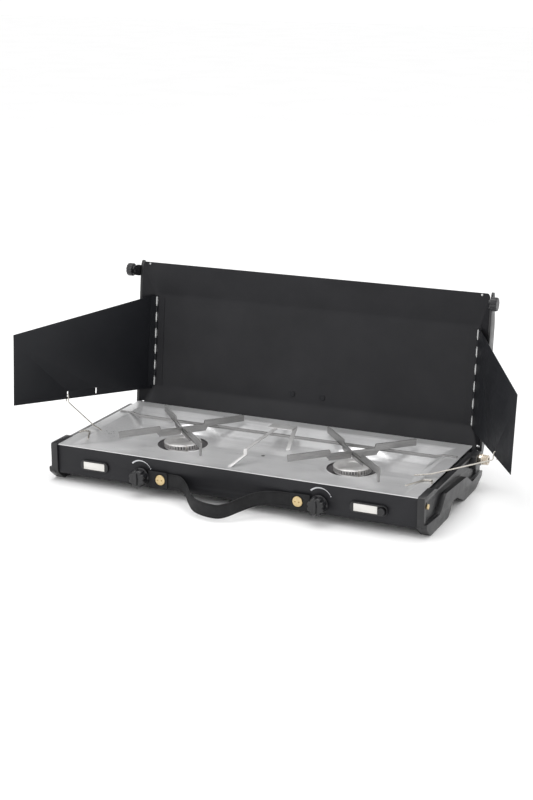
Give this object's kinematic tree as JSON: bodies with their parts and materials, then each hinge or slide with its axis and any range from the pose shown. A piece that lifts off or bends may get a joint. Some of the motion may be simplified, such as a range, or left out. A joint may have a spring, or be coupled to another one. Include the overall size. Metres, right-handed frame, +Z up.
{
  "type": "camping stove",
  "caption": "Folding gas camping stove with an open lid, side windscreens on wire stays, burners under crossed pot supports, front knobs, strap handle and a steel drip tray.",
  "frame": {"origin": "bottom centre of the bounding box of the opened stove, on the ground between the feet", "axes": "+Z up, +X along the width towards the gas inlet, -Y towards the cook at the knobs"},
  "size_m": [0.9024, 0.4118, 0.3244],
  "materials": {
    "charcoal_paint": "fine matt powder coat",
    "screen_paint": "satin",
    "black_plastic": "semi-matt moulded",
    "stainless": "fine brushed, satin",
    "stainless_bar": "brushed",
    "steel": "plain",
    "wire_steel": "drawn wire",
    "nickel_steel": "nickel plated",
    "brushed_plate": "brushed",
    "brass": "satin",
    "strap_leather": "smooth, slightly waxed",
    "burner_alloy": "cast, machined",
    "aluminium": "drawn tube",
    "ceramic": "glazed ceramic",
    "rubber": "matt"
  },
  "bodies": {
    "base": {"bridge_plate": "stainless_bar", "bridge_strip": "stainless_bar", "bridge_strut": "stainless_bar", "burner_bowl_left": "stainless", "burner_bowl_right": "stainless", "burner_head_left": "burner_alloy", "burner_head_right": "burner_alloy", "carry_strap": "strap_leather", "catch_stud_left": "brass", "catch_stud_right": "brass", "drip_tray": "stainless", "end_cap_left": "black_plastic", "end_cap_right": "black_plastic", "gas_inlet_fitting": "nickel_steel", "gas_manifold": "aluminium", "igniter_bezel_left": "black_plastic", "igniter_bezel_right": "black_plastic", "igniter_body": "black_plastic", "igniter_electrode_left": "ceramic", "igniter_electrode_right": "ceramic", "lid_hinge_pin_left": "steel", "lid_hinge_pin_right": "steel", "lower_case": "charcoal_paint", "mixing_tube_left": "steel", "mixing_tube_right": "steel", "stay_clip_left": "wire_steel", "stay_clip_right": "wire_steel", "steel_plate_left": "brushed_plate", "steel_plate_right": "brushed_plate", "strap_bolt_left": "brass", "strap_bolt_right": "brass", "support_bar_left_fixed": "stainless_bar", "support_bar_right_fixed": "stainless_bar", "support_rail": "stainless_bar", "valve_body_left": "brass", "valve_body_right": "brass"},
    "lid": {"lid_shell": "charcoal_paint", "lid_end_cap_left": "black_plastic", "lid_bumper_left": "rubber", "windscreen_hinge_left": "screen_paint", "lid_end_cap_right": "black_plastic", "lid_bumper_right": "rubber", "windscreen_hinge_right": "screen_paint"},
    "windscreen_left": {"windscreen_left": "screen_paint"},
    "stay_left": {"wire_stay_left": "wire_steel"},
    "knob_left": {"knob_left": "black_plastic", "valve_spindle_left": "brass"},
    "latch_left": {"lid_latch_left": "black_plastic", "latch_rivet_left": "brass"},
    "support_left": {"support_bar_left_turning": "stainless_bar"},
    "windscreen_right": {"windscreen_right": "screen_paint"},
    "stay_right": {"wire_stay_right": "wire_steel"},
    "knob_right": {"knob_right": "black_plastic", "valve_spindle_right": "brass"},
    "latch_right": {"lid_latch_right": "black_plastic", "latch_rivet_right": "brass"},
    "support_right": {"support_bar_right_turning": "stainless_bar"},
    "igniter": {"igniter_button": "black_plastic"}
  },
  "joints": [
    {"name": "lid_hinge", "type": "hinge", "parent": "base", "child": "lid", "pos_m": [-0.00622, 0.13841, 0.048], "axis": [1, 0, 0], "range_deg": [0, 3]},
    {"name": "windscreen_left", "type": "hinge", "parent": "lid", "child": "windscreen_left", "pos_m": [-0.31722, 0.18917, 0.17312], "axis": [0, 0.1115, 0.9938], "range_deg": [0, 114.2]},
    {"name": "windscreen_right", "type": "hinge", "parent": "lid", "child": "windscreen_right", "pos_m": [0.30478, 0.18917, 0.17312], "axis": [0, -0.1115, -0.9938], "range_deg": [0, 116.8]},
    {"name": "stay_left", "type": "hinge", "parent": "base", "child": "stay_left", "pos_m": [-0.31922, -0.04009, 0.0715], "axis": [0, 0, -1], "range_deg": [0, 75]},
    {"name": "stay_right", "type": "hinge", "parent": "base", "child": "stay_right", "pos_m": [0.30678, -0.04009, 0.0715], "axis": [0, 0, 1], "range_deg": [0, 75]},
    {"name": "knob_left", "type": "hinge", "parent": "base", "child": "knob_left", "pos_m": [-0.16822, -0.15509, 0.0325], "axis": [0, -1, 0], "range_deg": [0, 180]},
    {"name": "knob_right", "type": "hinge", "parent": "base", "child": "knob_right", "pos_m": [0.15478, -0.15509, 0.0325], "axis": [0, -1, 0], "range_deg": [0, 180]},
    {"name": "igniter", "type": "slide", "parent": "base", "child": "igniter", "axis": [0, 1, 0], "range_m": [0, 0.004], "stiffness_N_per_m": 300},
    {"name": "latch_left", "type": "hinge", "parent": "lid", "child": "latch_left", "pos_m": [-0.34622, 0.1913, 0.3042], "axis": [-1, 0, 0], "range_deg": [0, 80]},
    {"name": "latch_right", "type": "hinge", "parent": "lid", "child": "latch_right", "pos_m": [0.33378, 0.1913, 0.3042], "axis": [-1, 0, 0], "range_deg": [0, 80]},
    {"name": "support_left", "type": "hinge", "parent": "base", "child": "support_left", "pos_m": [-0.17422, 0.01891, 0.0665], "axis": [0, 0, 1], "range_deg": [-18, 12]},
    {"name": "support_right", "type": "hinge", "parent": "base", "child": "support_right", "pos_m": [0.14778, 0.01891, 0.0665], "axis": [0, 0, 1], "range_deg": [-3, 20]}
  ]
}
